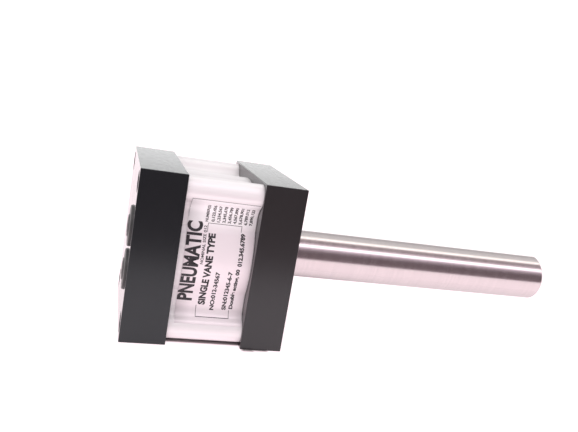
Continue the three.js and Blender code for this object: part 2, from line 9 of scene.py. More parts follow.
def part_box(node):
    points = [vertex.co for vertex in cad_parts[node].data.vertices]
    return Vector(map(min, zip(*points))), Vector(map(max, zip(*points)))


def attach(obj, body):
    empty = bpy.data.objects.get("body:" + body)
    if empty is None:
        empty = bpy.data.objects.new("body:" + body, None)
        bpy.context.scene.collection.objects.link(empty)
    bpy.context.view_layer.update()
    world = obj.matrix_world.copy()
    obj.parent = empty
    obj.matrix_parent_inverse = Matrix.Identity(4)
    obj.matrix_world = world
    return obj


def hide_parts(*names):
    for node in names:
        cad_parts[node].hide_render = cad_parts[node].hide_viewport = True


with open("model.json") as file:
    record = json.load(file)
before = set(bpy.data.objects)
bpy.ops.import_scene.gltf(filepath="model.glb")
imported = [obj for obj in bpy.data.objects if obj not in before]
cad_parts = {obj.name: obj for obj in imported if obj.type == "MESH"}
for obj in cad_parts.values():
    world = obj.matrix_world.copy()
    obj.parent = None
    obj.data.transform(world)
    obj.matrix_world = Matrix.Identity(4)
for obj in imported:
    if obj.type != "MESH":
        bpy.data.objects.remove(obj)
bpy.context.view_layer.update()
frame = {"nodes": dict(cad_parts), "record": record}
scene = bpy.context.scene
nodes = frame["nodes"]
MM = 0.001

# ---- Places from the frame, in metres ----

rear_low, rear_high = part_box("rear_head")
front_low, front_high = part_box("front_head")
barrel_low, barrel_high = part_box("barrel")
shaft_low, shaft_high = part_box("shaft")
label_low, label_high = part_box("label")
HALF_SIDE = rear_high.z
REAR_FACE = rear_low.x
BARREL_START = rear_high.x
BARREL_END = front_low.x
FRONT_FACE = front_high.x
TIE_BOLTS = [f"tie_bolt_{number}" for number in (1, 2, 3, 4)]
PLUGS = ["port_plug_upper", "port_plug_lower"]


def centre_of(node):
    low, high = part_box(node)
    return (low + high) / 2


def radius_of(node):
    low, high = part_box(node)
    return (high.z - low.z) / 2


# ---- Sizes that the frame doesn't state, in metres ----

BORE_RADIUS = 28.575 * MM
MIDDLE_RADIUS = BORE_RADIUS + 3 * MM
MIDDLE_FILLET = 3 * MM
WEB_FACE = 28.5 * MM
TIE_BOLT_OFFSET = centre_of("tie_bolt_2").y
LOBE_RADIUS = barrel_high.y - TIE_BOLT_OFFSET
LOBE_FILLET = 6 * MM
TIE_BOLT_HOLE = 2.6 * MM
TIE_BOLT_SHANK = 4.826 / 2 * MM
TIE_BOLT_HEAD_HEIGHT = 4.83 * MM
TIE_BOLT_SOCKET = 2.29 * MM
TIE_BOLT_SOCKET_DEPTH = 2.6 * MM
TIE_BOLT_END_WALL = 4 * MM
COUNTERBORE = 4.3 * MM
COUNTERBORE_DEPTH = 5.28 * MM
SPOT_FACE = 8.65 * MM
SPOT_FACE_DEPTH = 0.5 * MM
PORT_RADIUS = 6.85 * MM
PORT_DEPTH = 10.5 * MM
SEAL_BORE = 15.9 * MM
SEAL_BORE_DEPTH = 6.8 * MM
RING_GROOVE = 16.9 * MM
MOUNTING_CIRCLE = 24 * MM
MOUNTING_HOLE = 2.55 * MM
MOUNTING_DEPTH = 10 * MM
SHAFT_RADIUS = 22.225 / 2 * MM
HUB_RADIUS = radius_of("shaft")
REAR_JOURNAL = 15.875 / 2 * MM
FITTED_GAP = 0.05 * MM
HEAD_EDGE = 0.3 * MM
HOLE_EDGE = 0.15 * MM
SHARP_ANGLE = math.radians(40)
SEGMENTS = 96
OVERLAP = 1 * MM  # how far a cutter runs past the face that it opens


# ---- Mesh helpers ----

def new_object(name, mesh):
    obj = bpy.data.objects.new(name, mesh)
    scene.collection.objects.link(obj)
    return obj


def object_from(name, bm):
    bmesh.ops.recalc_face_normals(bm, faces=bm.faces)
    mesh = bpy.data.meshes.new(name)
    bm.to_mesh(mesh)
    bm.free()
    return new_object(name, mesh)


def lathe(name, corners, y=0.0, z=0.0, segments=SEGMENTS, ring=False):
    """Turns (x, radius) corners about an axis along X through (y, z). A ring's section closes on itself."""
    bm = bmesh.new()
    loops = []
    for x, radius in corners:
        angles = [math.tau * step / segments for step in range(segments)]
        loops.append([bm.verts.new((x, y + radius * math.cos(a), z + radius * math.sin(a))) for a in angles])
    pairs = list(zip(loops, loops[1:] + loops[:1])) if ring else list(zip(loops, loops[1:]))
    for first, second in pairs:
        for step in range(segments):
            after = (step + 1) % segments
            bm.faces.new((first[step], first[after], second[after], second[step]))
    if not ring:
        bm.faces.new(loops[0])
        bm.faces.new(loops[-1])
    return object_from(name, bm)


def rod(name, start, end, radius, y=0.0, z=0.0, segments=SEGMENTS):
    return lathe(name, [(start, radius), (end, radius)], y, z, segments)


def prism(name, outline, start, end):
    """Extrudes (y, z) points along X from start to end."""
    bm = bmesh.new()
    rear = [bm.verts.new((start, y, z)) for y, z in outline]
    front = [bm.verts.new((end, y, z)) for y, z in outline]
    bm.faces.new(rear)
    bm.faces.new(front)
    for place in range(len(outline)):
        after = (place + 1) % len(outline)
        bm.faces.new((rear[place], rear[after], front[after], front[place]))
    return object_from(name, bm)


def bake_modifiers(obj):
    evaluated = obj.evaluated_get(bpy.context.evaluated_depsgraph_get())
    mesh = bpy.data.meshes.new_from_object(evaluated)
    obj.modifiers.clear()
    obj.data = mesh


def combine(obj, others, operation):
    """Applies a boolean with each of the others in turn, then deletes them."""
    for other in others:
        boolean = obj.modifiers.new("combine", "BOOLEAN")
        boolean.object = other
        boolean.operation = operation
        boolean.solver = "EXACT"
    bake_modifiers(obj)
    for other in others:
        bpy.data.objects.remove(other)


def cut(obj, cutters):
    combine(obj, cutters, "DIFFERENCE")


def join(obj, added):
    combine(obj, added, "UNION")


def bevel(obj, width, segments=3, angle=35):
    """Rounds every edge that turns by more than the angle, in degrees."""
    modifier = obj.modifiers.new("edges", "BEVEL")
    modifier.width = width
    modifier.segments = segments
    modifier.limit_method = "ANGLE"
    modifier.angle_limit = math.radians(angle)
    modifier.use_clamp_overlap = False
    bake_modifiers(obj)
    return obj


def smooth(obj):
    obj.data.shade_smooth()
    obj.data.set_sharp_from_angle(angle=SHARP_ANGLE)
    obj.modifiers.new("normals", "WEIGHTED_NORMAL").keep_sharp = True


def arc(centre_x, centre_y, radius, from_degrees, to_degrees, steps):
    """Points along an arc, with both ends."""
    points = []
    for step in range(steps + 1):
        angle = math.radians(from_degrees + (to_degrees - from_degrees) * step / steps)
        points.append((centre_x + radius * math.cos(angle), centre_y + radius * math.sin(angle)))
    return points


# ---- Node helpers ----

def feed(tree, socket, value):
    """Links a node output to a socket, or sets a constant on it."""
    if isinstance(value, bpy.types.NodeSocket):
        tree.links.new(value, socket)
    else:
        socket.default_value = value


def calculate(tree, operation, *operands):
    """A math node on node outputs and numbers."""
    node = tree.nodes.new("ShaderNodeMath")
    node.operation = operation
    for socket, operand in zip(node.inputs, operands):
        feed(tree, socket, operand)
    return node.outputs["Value"]


def calculate_vector(tree, operation, first, second):
    node = tree.nodes.new("ShaderNodeVectorMath")
    node.operation = operation
    feed(tree, node.inputs[0], first)
    feed(tree, node.inputs["Scale" if operation == "SCALE" else 1], second)
    return node.outputs["Value" if operation == "DISTANCE" else "Vector"]


def component(tree, vector, axis):
    split = tree.nodes.new("ShaderNodeSeparateXYZ")
    tree.links.new(vector, split.inputs["Vector"])
    return split.outputs[axis]


def map_range(tree, value, low, high, out_low, out_high, interpolation="LINEAR"):
    """Maps value from low..high to out_low..out_high."""
    node = tree.nodes.new("ShaderNodeMapRange")
    node.interpolation_type = interpolation
    inputs = {"Value": value, "From Min": low, "From Max": high, "To Min": out_low, "To Max": out_high}
    for name, entry in inputs.items():
        feed(tree, node.inputs[name], entry)
    return node.outputs["Result"]


def colour_ramp(tree, value, stops):
    """A colour that follows value through (position, colour) stops."""
    ramp = tree.nodes.new("ShaderNodeValToRGB")
    for _ in stops[2:]:
        ramp.color_ramp.elements.new(0.5)
    for element, (position, colour) in zip(ramp.color_ramp.elements, stops):
        element.position = position
        element.color = (*colour, 1)
    tree.links.new(value, ramp.inputs["Fac"])
    return ramp.outputs["Color"]


# ---- Procedural materials ----

NOISE_LOW, NOISE_HIGH = 0.3, 0.7  # a noise seldom leaves this range


class Finish:
    """A Principled material with the texture nodes that vary it, in the piece's own metres."""

    def __init__(self, name, roughness, metallic=0.0, ior=1.5):
        self.material = bpy.data.materials.new(name)
        self.material.use_nodes = True
        self.tree = self.material.node_tree
        self.shader = self.tree.nodes["Principled BSDF"]
        self.set("Metallic", metallic)
        self.set("Roughness", roughness)
        self.set("IOR", ior)
        texture_places = self.tree.nodes.new("ShaderNodeTexCoord")
        self.coordinates = texture_places.outputs["Object"]
        self.normal = texture_places.outputs["Normal"]
        self.last_bump = None

    def set(self, name, value):
        feed(self.tree, self.shader.inputs[name], value)

    def noise(self, scale, detail):
        """A noise with its own scale along X, Y and Z, in features per metre."""
        mapping = self.tree.nodes.new("ShaderNodeMapping")
        feed(self.tree, mapping.inputs["Scale"], scale)
        feed(self.tree, mapping.inputs["Vector"], self.coordinates)
        noise = self.tree.nodes.new("ShaderNodeTexNoise")
        feed(self.tree, noise.inputs["Scale"], 1.0)
        feed(self.tree, noise.inputs["Detail"], detail)
        feed(self.tree, noise.inputs["Vector"], mapping.outputs["Vector"])
        return noise.outputs["Fac"]

    def tone(self, value, dark, light):
        return colour_ramp(self.tree, value, [(NOISE_LOW, dark), (NOISE_HIGH, light)])

    def colour(self, value, dark, light):
        self.set("Base Color", self.tone(value, dark, light))

    def roughness(self, value, low, high):
        self.set("Roughness", map_range(self.tree, value, NOISE_LOW, NOISE_HIGH, low, high))

    def relief(self, value, depth):
        """Adds a bump of the given depth in metres on top of any before it."""
        bump = self.tree.nodes.new("ShaderNodeBump")
        feed(self.tree, bump.inputs["Strength"], 1.0)
        feed(self.tree, bump.inputs["Distance"], depth)
        feed(self.tree, bump.inputs["Height"], value)
        if self.last_bump is not None:
            feed(self.tree, bump.inputs["Normal"], self.last_bump)
        self.last_bump = bump.outputs["Normal"]
        self.set("Normal", self.last_bump)


def black_anodised():
    """Black anodised plate: its sides are duller than its faced ends, and painted light makes the front
    head's colour a bit paler than the rear head's.
    """
    finish = Finish("black_anodised", 0.26, ior=1.55)
    along = component(finish.tree, finish.coordinates, "X")
    # painted light: the colour pales from the rear head toward the front head
    painted_front_light = map_range(finish.tree, along, BARREL_START, BARREL_END, NOISE_LOW, NOISE_HIGH)
    finish.colour(painted_front_light, (0.0078, 0.0088, 0.0108), (0.021, 0.0175, 0.0185))
    finish.set("Specular Tint", (0.9, 0.98, 1.0, 1))
    facing = calculate(finish.tree, "ABSOLUTE", component(finish.tree, finish.normal, "X"))
    dullness = map_range(finish.tree, facing, 0.7, 0.98, 0.25, 0.1)
    fine = map_range(finish.tree, finish.noise((600, 200, 200), 3), NOISE_LOW, NOISE_HIGH, -0.015, 0.015)
    finish.set("Roughness", calculate(finish.tree, "ADD", dullness, fine))
    finish.relief(finish.noise((5000, 400, 400), 2), 0.0015 * MM)
    return finish.material


def clear_anodised():
    finish = Finish("clear_anodised", 0.48, metallic=0.25)
    streaks = finish.noise((12, 700, 700), 4)
    finish.colour(streaks, (0.80, 0.755, 0.775), (0.86, 0.82, 0.835))
    finish.roughness(finish.noise((25, 1500, 1500), 3), 0.44, 0.54)
    finish.relief(finish.noise((25, 2500, 2500), 3), 0.006 * MM)
    finish.relief(finish.noise((7000, 7000, 7000), 1), 0.003 * MM)
    return finish.material


def ground_steel():
    """Ground round bar: fine marks run round the axis."""
    finish = Finish("ground_steel", 0.18, metallic=1.0)
    finish.set("Anisotropic", 0.5)
    tangent = finish.tree.nodes.new("ShaderNodeTangent")
    tangent.direction_type = "RADIAL"
    tangent.axis = "X"
    finish.set("Tangent", tangent.outputs["Tangent"])
    finish.colour(finish.noise((1800, 40, 40), 4), (0.635, 0.585, 0.59), (0.675, 0.62, 0.625))
    finish.roughness(finish.noise((900, 60, 60), 4), 0.15, 0.21)
    finish.relief(finish.noise((5500, 60, 60), 3), 0.0009 * MM)
    return finish.material


def plain_steel():
    finish = Finish("plain_steel", 0.32, metallic=1.0)
    finish.colour(finish.noise((900, 300, 300), 3), (0.46, 0.46, 0.47), (0.58, 0.58, 0.58))
    finish.roughness(finish.noise((1500, 500, 500), 2), 0.26, 0.4)
    finish.relief(finish.noise((3500, 300, 300), 2), 0.004 * MM)
    return finish.material


def black_steel():
    finish = Finish("black_steel", 0.36, metallic=0.7)
    finish.colour(finish.noise((350, 350, 350), 4), (0.020, 0.020, 0.023), (0.055, 0.053, 0.055))
    finish.roughness(finish.noise((900, 900, 900), 3), 0.28, 0.46)
    finish.relief(finish.noise((3500, 3500, 3500), 2), 0.006 * MM)
    return finish.material


def bronze():
    finish = Finish("bronze", 0.42, metallic=1.0)
    finish.colour(finish.noise((1500, 1500, 1500), 4), (0.42, 0.26, 0.12), (0.60, 0.40, 0.19))
    finish.roughness(finish.noise((800, 800, 800), 2), 0.36, 0.52)
    finish.relief(finish.noise((4000, 4000, 4000), 2), 0.008 * MM)
    return finish.material


def black_rubber():
    finish = Finish("black_rubber", 0.6)
    finish.colour(finish.noise((250, 250, 250), 3), (0.016, 0.016, 0.016), (0.030, 0.029, 0.029))
    finish.roughness(finish.noise((600, 600, 600), 3), 0.5, 0.7)
    finish.relief(finish.noise((3500, 3500, 3500), 2), 0.01 * MM)
    return finish.material


def dark_plastic():
    finish = Finish("dark_plastic", 0.42, ior=1.48)
    finish.colour(finish.noise((200, 200, 200), 3), (0.072, 0.071, 0.073), (0.104, 0.102, 0.104))
    finish.roughness(finish.noise((700, 700, 700), 3), 0.36, 0.5)
    finish.relief(finish.noise((3000, 3000, 3000), 2), 0.008 * MM)
    return finish.material


def label_film():
    """Silvery sheet with painted light and shade: painted whiter in its upper part and painted greyer along
    the edge beside the rear head.
    """
    finish = Finish("label_film", 0.32, metallic=0.12)
    height = component(finish.tree, finish.coordinates, "Z")
    # painted light: the sheet's colour is whiter in its upper part
    painted_upper_light = map_range(finish.tree, height, 8 * MM, 20 * MM, 0, 1)
    sheet = finish.tone(painted_upper_light, (0.83, 0.745, 0.782), (0.93, 0.90, 0.92))
    along = component(finish.tree, finish.coordinates, "X")
    # painted shade: the colour darkens along the edge beside the rear head
    painted_rear_shade = map_range(finish.tree, along, label_low.x, label_low.x + 6 * MM, 0.78, 1)
    finish.set("Base Color", calculate_vector(finish.tree, "SCALE", sheet, painted_rear_shade))
    finish.roughness(finish.noise((300, 300, 300), 3), 0.29, 0.36)
    finish.relief(finish.noise((150, 150, 150), 2), 0.03 * MM)
    return finish.material


def ink_and_edge_shade():
    finish = Finish("ink_and_edge_shade", 0.45)
    finish.colour(finish.noise((900, 900, 900), 3), (0.012, 0.011, 0.014), (0.035, 0.031, 0.036))
    finish.roughness(finish.noise((1200, 1200, 1200), 2), 0.4, 0.55)
    return finish.material


MATERIALS = {
    make_material.__name__: make_material()
    for make_material in (black_anodised, clear_anodised, ground_steel, plain_steel, black_steel, bronze,
                          black_rubber, dark_plastic, label_film)
}
INK_AND_EDGE_SHADE = ink_and_edge_shade()


def settle(obj, body, slot, replaced=(), material=None):
    """Gives a finished piece its material, its body and the CAD nodes that it stands for."""
    obj.data.materials.clear()
    obj.data.materials.append(material or MATERIALS[slot])
    smooth(obj)
    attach(obj, body)
    if replaced:
        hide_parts(*replaced)


# ---- Heads ----

def head_blank(name, start, end):
    half = HALF_SIDE
    square = [(-half, -half), (half, -half), (half, half), (-half, half)]
    return bevel(prism(name, square, start, end), HEAD_EDGE)


def make_rear_head():
    head = head_blank("rear_head_machined", REAR_FACE, BARREL_START)
    cutters = []
    for node in TIE_BOLTS:
        centre = centre_of(node)
        cutters.append(rod("cutter", REAR_FACE - OVERLAP, COUNTERBORE_DEPTH, COUNTERBORE, centre.y, centre.z))
        cutters.append(rod("cutter", 0, BARREL_START + OVERLAP, TIE_BOLT_HOLE, centre.y, centre.z))
    for node in PLUGS:
        centre = centre_of(node)
        cutters.append(rod("cutter", REAR_FACE - OVERLAP, SPOT_FACE_DEPTH, SPOT_FACE, centre.y, centre.z))
        cutters.append(rod("cutter", REAR_FACE - OVERLAP, PORT_DEPTH, PORT_RADIUS, centre.y, centre.z))
    bushing = radius_of("rear_bushing") + FITTED_GAP
    bushing_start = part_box("rear_bushing")[0].x - 0.5 * MM
    cutters.append(rod("cutter", bushing_start, BARREL_START + OVERLAP, bushing))
    cut(head, cutters)
    bevel(head, HOLE_EDGE, segments=2, angle=50)
    settle(head, "housing", "black_anodised", ["rear_head"])


def make_front_head():
    head = head_blank("front_head_machined", BARREL_END, FRONT_FACE)
    bushing = radius_of("front_bushing") + FITTED_GAP
    bushing_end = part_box("front_bushing")[1].x
    groove_low, groove_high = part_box("retaining_ring")
    cutters = [
        rod("cutter", BARREL_END - OVERLAP, bushing_end, bushing),
        rod("cutter", BARREL_END, FRONT_FACE + OVERLAP, SHAFT_RADIUS + 0.7 * MM),
        rod("cutter", FRONT_FACE - SEAL_BORE_DEPTH, FRONT_FACE + OVERLAP, SEAL_BORE),
        rod("cutter", groove_low.x - 0.1 * MM, groove_high.x + 0.1 * MM, RING_GROOVE),
    ]
    for node in TIE_BOLTS:
        centre = centre_of(node)
        end = FRONT_FACE - TIE_BOLT_END_WALL
        cutters.append(rod("cutter", BARREL_END - OVERLAP, end, TIE_BOLT_HOLE, centre.y, centre.z))
    for y, z in ((1, 0), (0, 1), (-1, 0), (0, -1)):
        place = (y * MOUNTING_CIRCLE, z * MOUNTING_CIRCLE)
        bottom = FRONT_FACE - MOUNTING_DEPTH
        cutters.append(rod("cutter", bottom, FRONT_FACE + OVERLAP, MOUNTING_HOLE, *place))
    cut(head, cutters)
    bevel(head, HOLE_EDGE, segments=2, angle=50)
    settle(head, "housing", "black_anodised", ["front_head"])


# ---- Barrel ----

LOBE_FILLET_HEIGHT = WEB_FACE + LOBE_FILLET
LOBE_FILLET_RISE = LOBE_FILLET_HEIGHT - TIE_BOLT_OFFSET
LOBE_FILLET_REACH = math.sqrt((LOBE_RADIUS + LOBE_FILLET) ** 2 - LOBE_FILLET_RISE ** 2)
LOBE_FILLET_PLACE = TIE_BOLT_OFFSET - LOBE_FILLET_REACH
MIDDLE_FILLET_HEIGHT = WEB_FACE + MIDDLE_FILLET
MIDDLE_FILLET_PLACE = math.sqrt((MIDDLE_RADIUS + MIDDLE_FILLET) ** 2 - MIDDLE_FILLET_HEIGHT ** 2)


def barrel_side():
    """One side of the outline, facing up, from the top of its left lobe to the top of its right one."""
    join = math.degrees(math.atan2(LOBE_FILLET_RISE, LOBE_FILLET_REACH))
    lean = math.degrees(math.atan2(MIDDLE_FILLET_PLACE, MIDDLE_FILLET_HEIGHT))
    left = [
        *arc(-TIE_BOLT_OFFSET, TIE_BOLT_OFFSET, LOBE_RADIUS, 135, join, 20),
        *arc(-LOBE_FILLET_PLACE, LOBE_FILLET_HEIGHT, LOBE_FILLET, 180 + join, 270, 12)[1:],
        *arc(-MIDDLE_FILLET_PLACE, MIDDLE_FILLET_HEIGHT, MIDDLE_FILLET, 270, 270 + lean, 8),
        *arc(0, 0, MIDDLE_RADIUS, 90 + lean, 90, 16)[1:],
    ]
    return left + [(-x, y) for x, y in reversed(left[:-1])]


def make_barrel():
    outline = []
    for quarter in range(4):
        turn = math.radians(-90 * quarter)
        for x, y in barrel_side()[1:]:
            outline.append((x * math.cos(turn) - y * math.sin(turn), x * math.sin(turn) + y * math.cos(turn)))
    barrel = prism("barrel_extrusion", outline, barrel_low.x, barrel_high.x)
    start, end = barrel_low.x - OVERLAP, barrel_high.x + OVERLAP
    cutters = [rod("cutter", start, end, BORE_RADIUS, segments=128)]
    for node in TIE_BOLTS:
        centre = centre_of(node)
        cutters.append(rod("cutter", start, end, TIE_BOLT_HOLE, centre.y, centre.z, segments=48))
    cut(barrel, cutters)
    settle(barrel, "housing", "clear_anodised", ["barrel"])


# ---- Label and its printing ----

LABEL_GAP = 0.05 * MM
LABEL_THICKNESS = 0.12 * MM
INK_THICKNESS = 0.012 * MM
INK_LIFT = LABEL_GAP + LABEL_THICKNESS - 0.002 * MM  # the ink's underside, just inside the sheet
BENDING_STEPS = 150

# Words, X of their tops and feet, Z where they start and end in millimetres, and how much they are thickened.
LETTERING = [
    ("PNEUMATIC", 21.1, 27.4, -17.5, 15.9, 0.038),
    ("NOMINAL SIZE 012", 27.9, 29.1, -0.9, 14.5, 0.024),
    ("SINGLE VANE TYPE", 29.9, 32.9, -18.9, 11.7, 0.05),
    ("NO:012-34567", 34.9, 36.8, -20.9, -3.6, 0.045),
    ("SN:012345-6-7", 40.0, 41.9, -20.5, -3.0, 0.045),
    ("Double acting, 00", 43.0, 45.1, -19.9, -1.7, 0.055),
    ("012.345.6789", 43.1, 45.1, -0.5, 12.7, 0.05),
    ("NUMBER(S)", 28.0, 29.5, 16.1, 23.2, 0.035),
]
NUMBER_ROWS = 8
NUMBER_ROW_START = 30.4
NUMBER_ROW_PITCH = 2.23


def side_height(place, offset):
    """How far the barrel's side stands from the axis at a place across it, moved outward by offset."""
    place = abs(place)
    fillet = MIDDLE_FILLET - offset
    lobe_fillet = LOBE_FILLET - offset
    middle_join = MIDDLE_FILLET_PLACE * (MIDDLE_RADIUS + offset) / (MIDDLE_RADIUS + MIDDLE_FILLET)
    share = (LOBE_RADIUS + offset) / (LOBE_RADIUS + LOBE_FILLET)
    lobe_join = TIE_BOLT_OFFSET - LOBE_FILLET_REACH * share
    if place <= middle_join:
        return math.sqrt((MIDDLE_RADIUS + offset) ** 2 - place ** 2)
    if place <= MIDDLE_FILLET_PLACE:
        return MIDDLE_FILLET_HEIGHT - math.sqrt(fillet ** 2 - (MIDDLE_FILLET_PLACE - place) ** 2)
    if place <= LOBE_FILLET_PLACE:
        return WEB_FACE + offset
    if place <= lobe_join:
        return LOBE_FILLET_HEIGHT - math.sqrt(lobe_fillet ** 2 - (place - LOBE_FILLET_PLACE) ** 2)
    return TIE_BOLT_OFFSET + math.sqrt((LOBE_RADIUS + offset) ** 2 - (place - TIE_BOLT_OFFSET) ** 2)


def wrap_on_side(name, flat_mesh):
    """Bends a flat mesh onto the -Y side. Its X and Y are the row's X and Z, and its Z is the lift."""
    bm = bmesh.new()
    bm.from_mesh(flat_mesh)
    for step in range(1, BENDING_STEPS):
        z = label_low.z + (label_high.z - label_low.z) * step / BENDING_STEPS
        geometry = bm.verts[:] + bm.edges[:] + bm.faces[:]
        bmesh.ops.bisect_plane(bm, geom=geometry, plane_co=(0, z, 0), plane_no=(0, 1, 0), dist=1e-7)
    for vertex in bm.verts:
        x, z, lift = vertex.co
        vertex.co = (x, -side_height(z, lift), z)
    return object_from(name, bm)


def box_mesh(bm, low, high):
    corners = [bm.verts.new((x, y, z)) for z in (low[2], high[2]) for x, y in
               ((low[0], low[1]), (high[0], low[1]), (high[0], high[1]), (low[0], high[1]))]
    for face in ((3, 2, 1, 0), (4, 5, 6, 7), (0, 1, 5, 4), (1, 2, 6, 5), (2, 3, 7, 6), (3, 0, 4, 7)):
        bm.faces.new([corners[place] for place in face])


def make_label():
    bm = bmesh.new()
    top = LABEL_GAP + LABEL_THICKNESS
    box_mesh(bm, (label_low.x, label_low.z, LABEL_GAP), (label_high.x, label_high.z, top))
    flat = bpy.data.meshes.new("label_flat")
    bm.to_mesh(flat)
    bm.free()
    settle(wrap_on_side("label_sheet", flat), "housing", "label_film", ["label"])


def add_line(bm, x0, x1, z0, z1, width=0.2):
    """A dark line between two corners, for the printed frame and the painted edge shade, in millimetres, with
    its width added all round.
    """
    half = width / 2
    low = ((x0 - half) * MM, (z0 - half) * MM, INK_LIFT)
    high = ((x1 + half) * MM, (z1 + half) * MM, INK_LIFT + INK_THICKNESS)
    box_mesh(bm, low, high)


def add_words(bm, words, tops, feet, start, end, weight):
    """Lettering that reads upward, in millimetres: X of its tops and feet, Z where it starts and ends."""
    curve = bpy.data.curves.new("words", "FONT")
    curve.body = words
    curve.size = 1.0
    curve.offset = weight
    curve.extrude = 0.5
    curve.resolution_u = 4
    obj = new_object("words", curve)
    mesh = bpy.data.meshes.new_from_object(obj.evaluated_get(bpy.context.evaluated_depsgraph_get()))
    bpy.data.objects.remove(obj)
    xs = [vertex.co.x for vertex in mesh.vertices]
    ys = [vertex.co.y for vertex in mesh.vertices]
    along = (end - start) / (max(xs) - min(xs)) * MM
    up = (feet - tops) / (max(ys) - min(ys)) * MM
    for vertex in mesh.vertices:
        x, y, z = vertex.co
        vertex.co = (feet * MM - (y - min(ys)) * up,
                     start * MM + (x - min(xs)) * along,
                     INK_LIFT + (z + 0.5) * INK_THICKNESS)
    bm.from_mesh(mesh)
    bpy.data.meshes.remove(mesh)


def make_printing_and_edge_shade():
    """Generic words, rows of counting digits, a thin frame, and a dark line of painted shade along the
    sheet's top edge and the top of its rear edge.
    """
    bm = bmesh.new()
    for entry in LETTERING:
        add_words(bm, *entry)
    for row in range(NUMBER_ROWS):
        digits = "".join(str((row + place) % 10) for place in range(7))
        words = f"{digits[0]},{digits[1:4]},{digits[4:]}"
        tops = NUMBER_ROW_START + row * NUMBER_ROW_PITCH
        add_words(bm, words, tops, tops + 1.5, 16.3, 23.3, 0.04)
    left, right, bottom, top = 29.4, 43.2, -23.5, 15.6
    for z in (top, bottom):
        add_line(bm, left, right, z, z)
    for x, words_start, words_end in ((left, -19.3, 12.2), (right, -20.6, 13.2)):
        add_line(bm, x, x, words_end, top)
        add_line(bm, x, x, bottom, words_start)
    # painted shade: dark lines along the sheet's top edge and down the top of its rear edge
    sheet_start, sheet_end = label_low.x / MM + 0.2, label_high.x / MM - 0.2
    sheet_top = label_high.z / MM - 0.15
    add_line(bm, sheet_start, sheet_end, sheet_top, sheet_top, width=0.16)
    add_line(bm, sheet_start, sheet_start, sheet_top - 8, sheet_top, width=0.1)
    flat = bpy.data.meshes.new("printing_flat")
    bm.to_mesh(flat)
    bm.free()
    settle(wrap_on_side("label_printing_and_edge_shade", flat), "housing", "label_film", material=INK_AND_EDGE_SHADE)


# ---- Fasteners, plugs and the parts round the shaft ----

PLUG_BOSS = 4.6 * MM
PLUG_BOSS_HEIGHT = 0.55 * MM
PLUG_DISH_START, PLUG_DISH_END = 6.3 * MM, 0.8 * MM  # from the axis, and inward from the rim
PLUG_DISH_DEPTH = 0.12 * MM
PLUG_SOCKET = 3.4 * MM
PLUG_STEM, PLUG_STEM_TIP = 6.6 * MM, 6.2 * MM
PLUG_STEM_END = 8 * MM
RING_INSIDE = 14.3 * MM
RING_HALF_GAP = 3.2 * MM
RING_LUG = 1.9 * MM
RING_LUG_HOLE = 0.8 * MM
HUB_END_GAP = 0.1 * MM
TIP_CHAMFER = 1.1 * MM
JOURNAL_CHAMFER = 0.6 * MM
SCREW_HEAD_POCKET, SCREW_HEAD_HEIGHT = 3.2 * MM, 3.3 * MM
SCREW_HOLE = 1.85 * MM
SCREW_POCKET_START, SCREW_HOLE_START, SCREW_HOLE_END = -20 * MM, -12 * MM, 9 * MM


def hexagonal_cutter(start, end, corner_radius, centre):
    return rod("cutter", start, end, corner_radius, centre.y, centre.z, segments=6)


def make_tie_bolt(node):
    low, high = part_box(node)
    centre = centre_of(node)
    head = radius_of(node)
    head_end = low.x + TIE_BOLT_HEAD_HEIGHT
    corners = [(low.x, head), (head_end, head), (head_end, TIE_BOLT_SHANK), (high.x, TIE_BOLT_SHANK)]
    bolt = lathe(node + "_screw", corners, centre.y, centre.z, segments=64)
    cut(bolt, [hexagonal_cutter(low.x - OVERLAP, low.x + TIE_BOLT_SOCKET_DEPTH, TIE_BOLT_SOCKET, centre)])
    bevel(bolt, 0.3 * MM)
    settle(bolt, "housing", "black_steel", [node])


def make_port_plug(node):
    """A shipping plug: boss with a hexagon socket, shallow dished flange and a tapered stem."""
    centre = centre_of(node)
    rim = radius_of(node)
    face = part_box(node)[0].x
    step = face + PLUG_BOSS_HEIGHT
    dish = step + PLUG_DISH_DEPTH
    dish_end = rim - PLUG_DISH_END
    seat = SPOT_FACE_DEPTH - FITTED_GAP
    corners = [
        (face, PLUG_BOSS - 0.5 * MM), (face + 0.12 * MM, PLUG_BOSS - 0.15 * MM), (step, PLUG_BOSS),
        (step, PLUG_DISH_START), (dish, PLUG_DISH_START + 0.15 * MM), (dish, dish_end),
        (step, dish_end + 0.2 * MM), (step + 0.02 * MM, rim - 0.25 * MM), (step + 0.22 * MM, rim),
        (seat, rim), (seat, PLUG_STEM), (PLUG_STEM_END, PLUG_STEM_TIP),
    ]
    plug = lathe(node + "_moulded", corners, centre.y, centre.z)
    cut(plug, [hexagonal_cutter(face - OVERLAP, SPOT_FACE_DEPTH, PLUG_SOCKET, centre)])
    bevel(plug, 0.12 * MM, angle=25)
    settle(plug, "housing", "dark_plastic", [node])


def make_shaft_seal():
    """A rubber ring with two lips on the shaft, its section drawn from the front corner round to the rear."""
    low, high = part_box("shaft_seal")
    outside = radius_of("shaft_seal")
    start, end = low.x, high.x
    lip = SHAFT_RADIUS + 0.15 * MM
    section = [
        (end - 0.25 * MM, outside), (end, outside - 0.25 * MM), (end, lip + 1.1 * MM),
        (end - 0.3 * MM, lip + 0.6 * MM), (end - 0.9 * MM, lip), (end - 1.7 * MM, lip + 0.8 * MM),
        (start + 1.5 * MM, lip), (start + 0.7 * MM, lip + 0.9 * MM), (start + 1.5 * MM, lip + 1.7 * MM),
        (end - 1.4 * MM, lip + 2.1 * MM), (end - 1.4 * MM, outside - 0.9 * MM),
        (start, outside - 0.9 * MM), (start, outside),
    ]
    seal = lathe("shaft_seal_moulded", section, ring=True)
    settle(bevel(seal, 0.1 * MM, segments=2), "housing", "black_rubber", ["shaft_seal"])


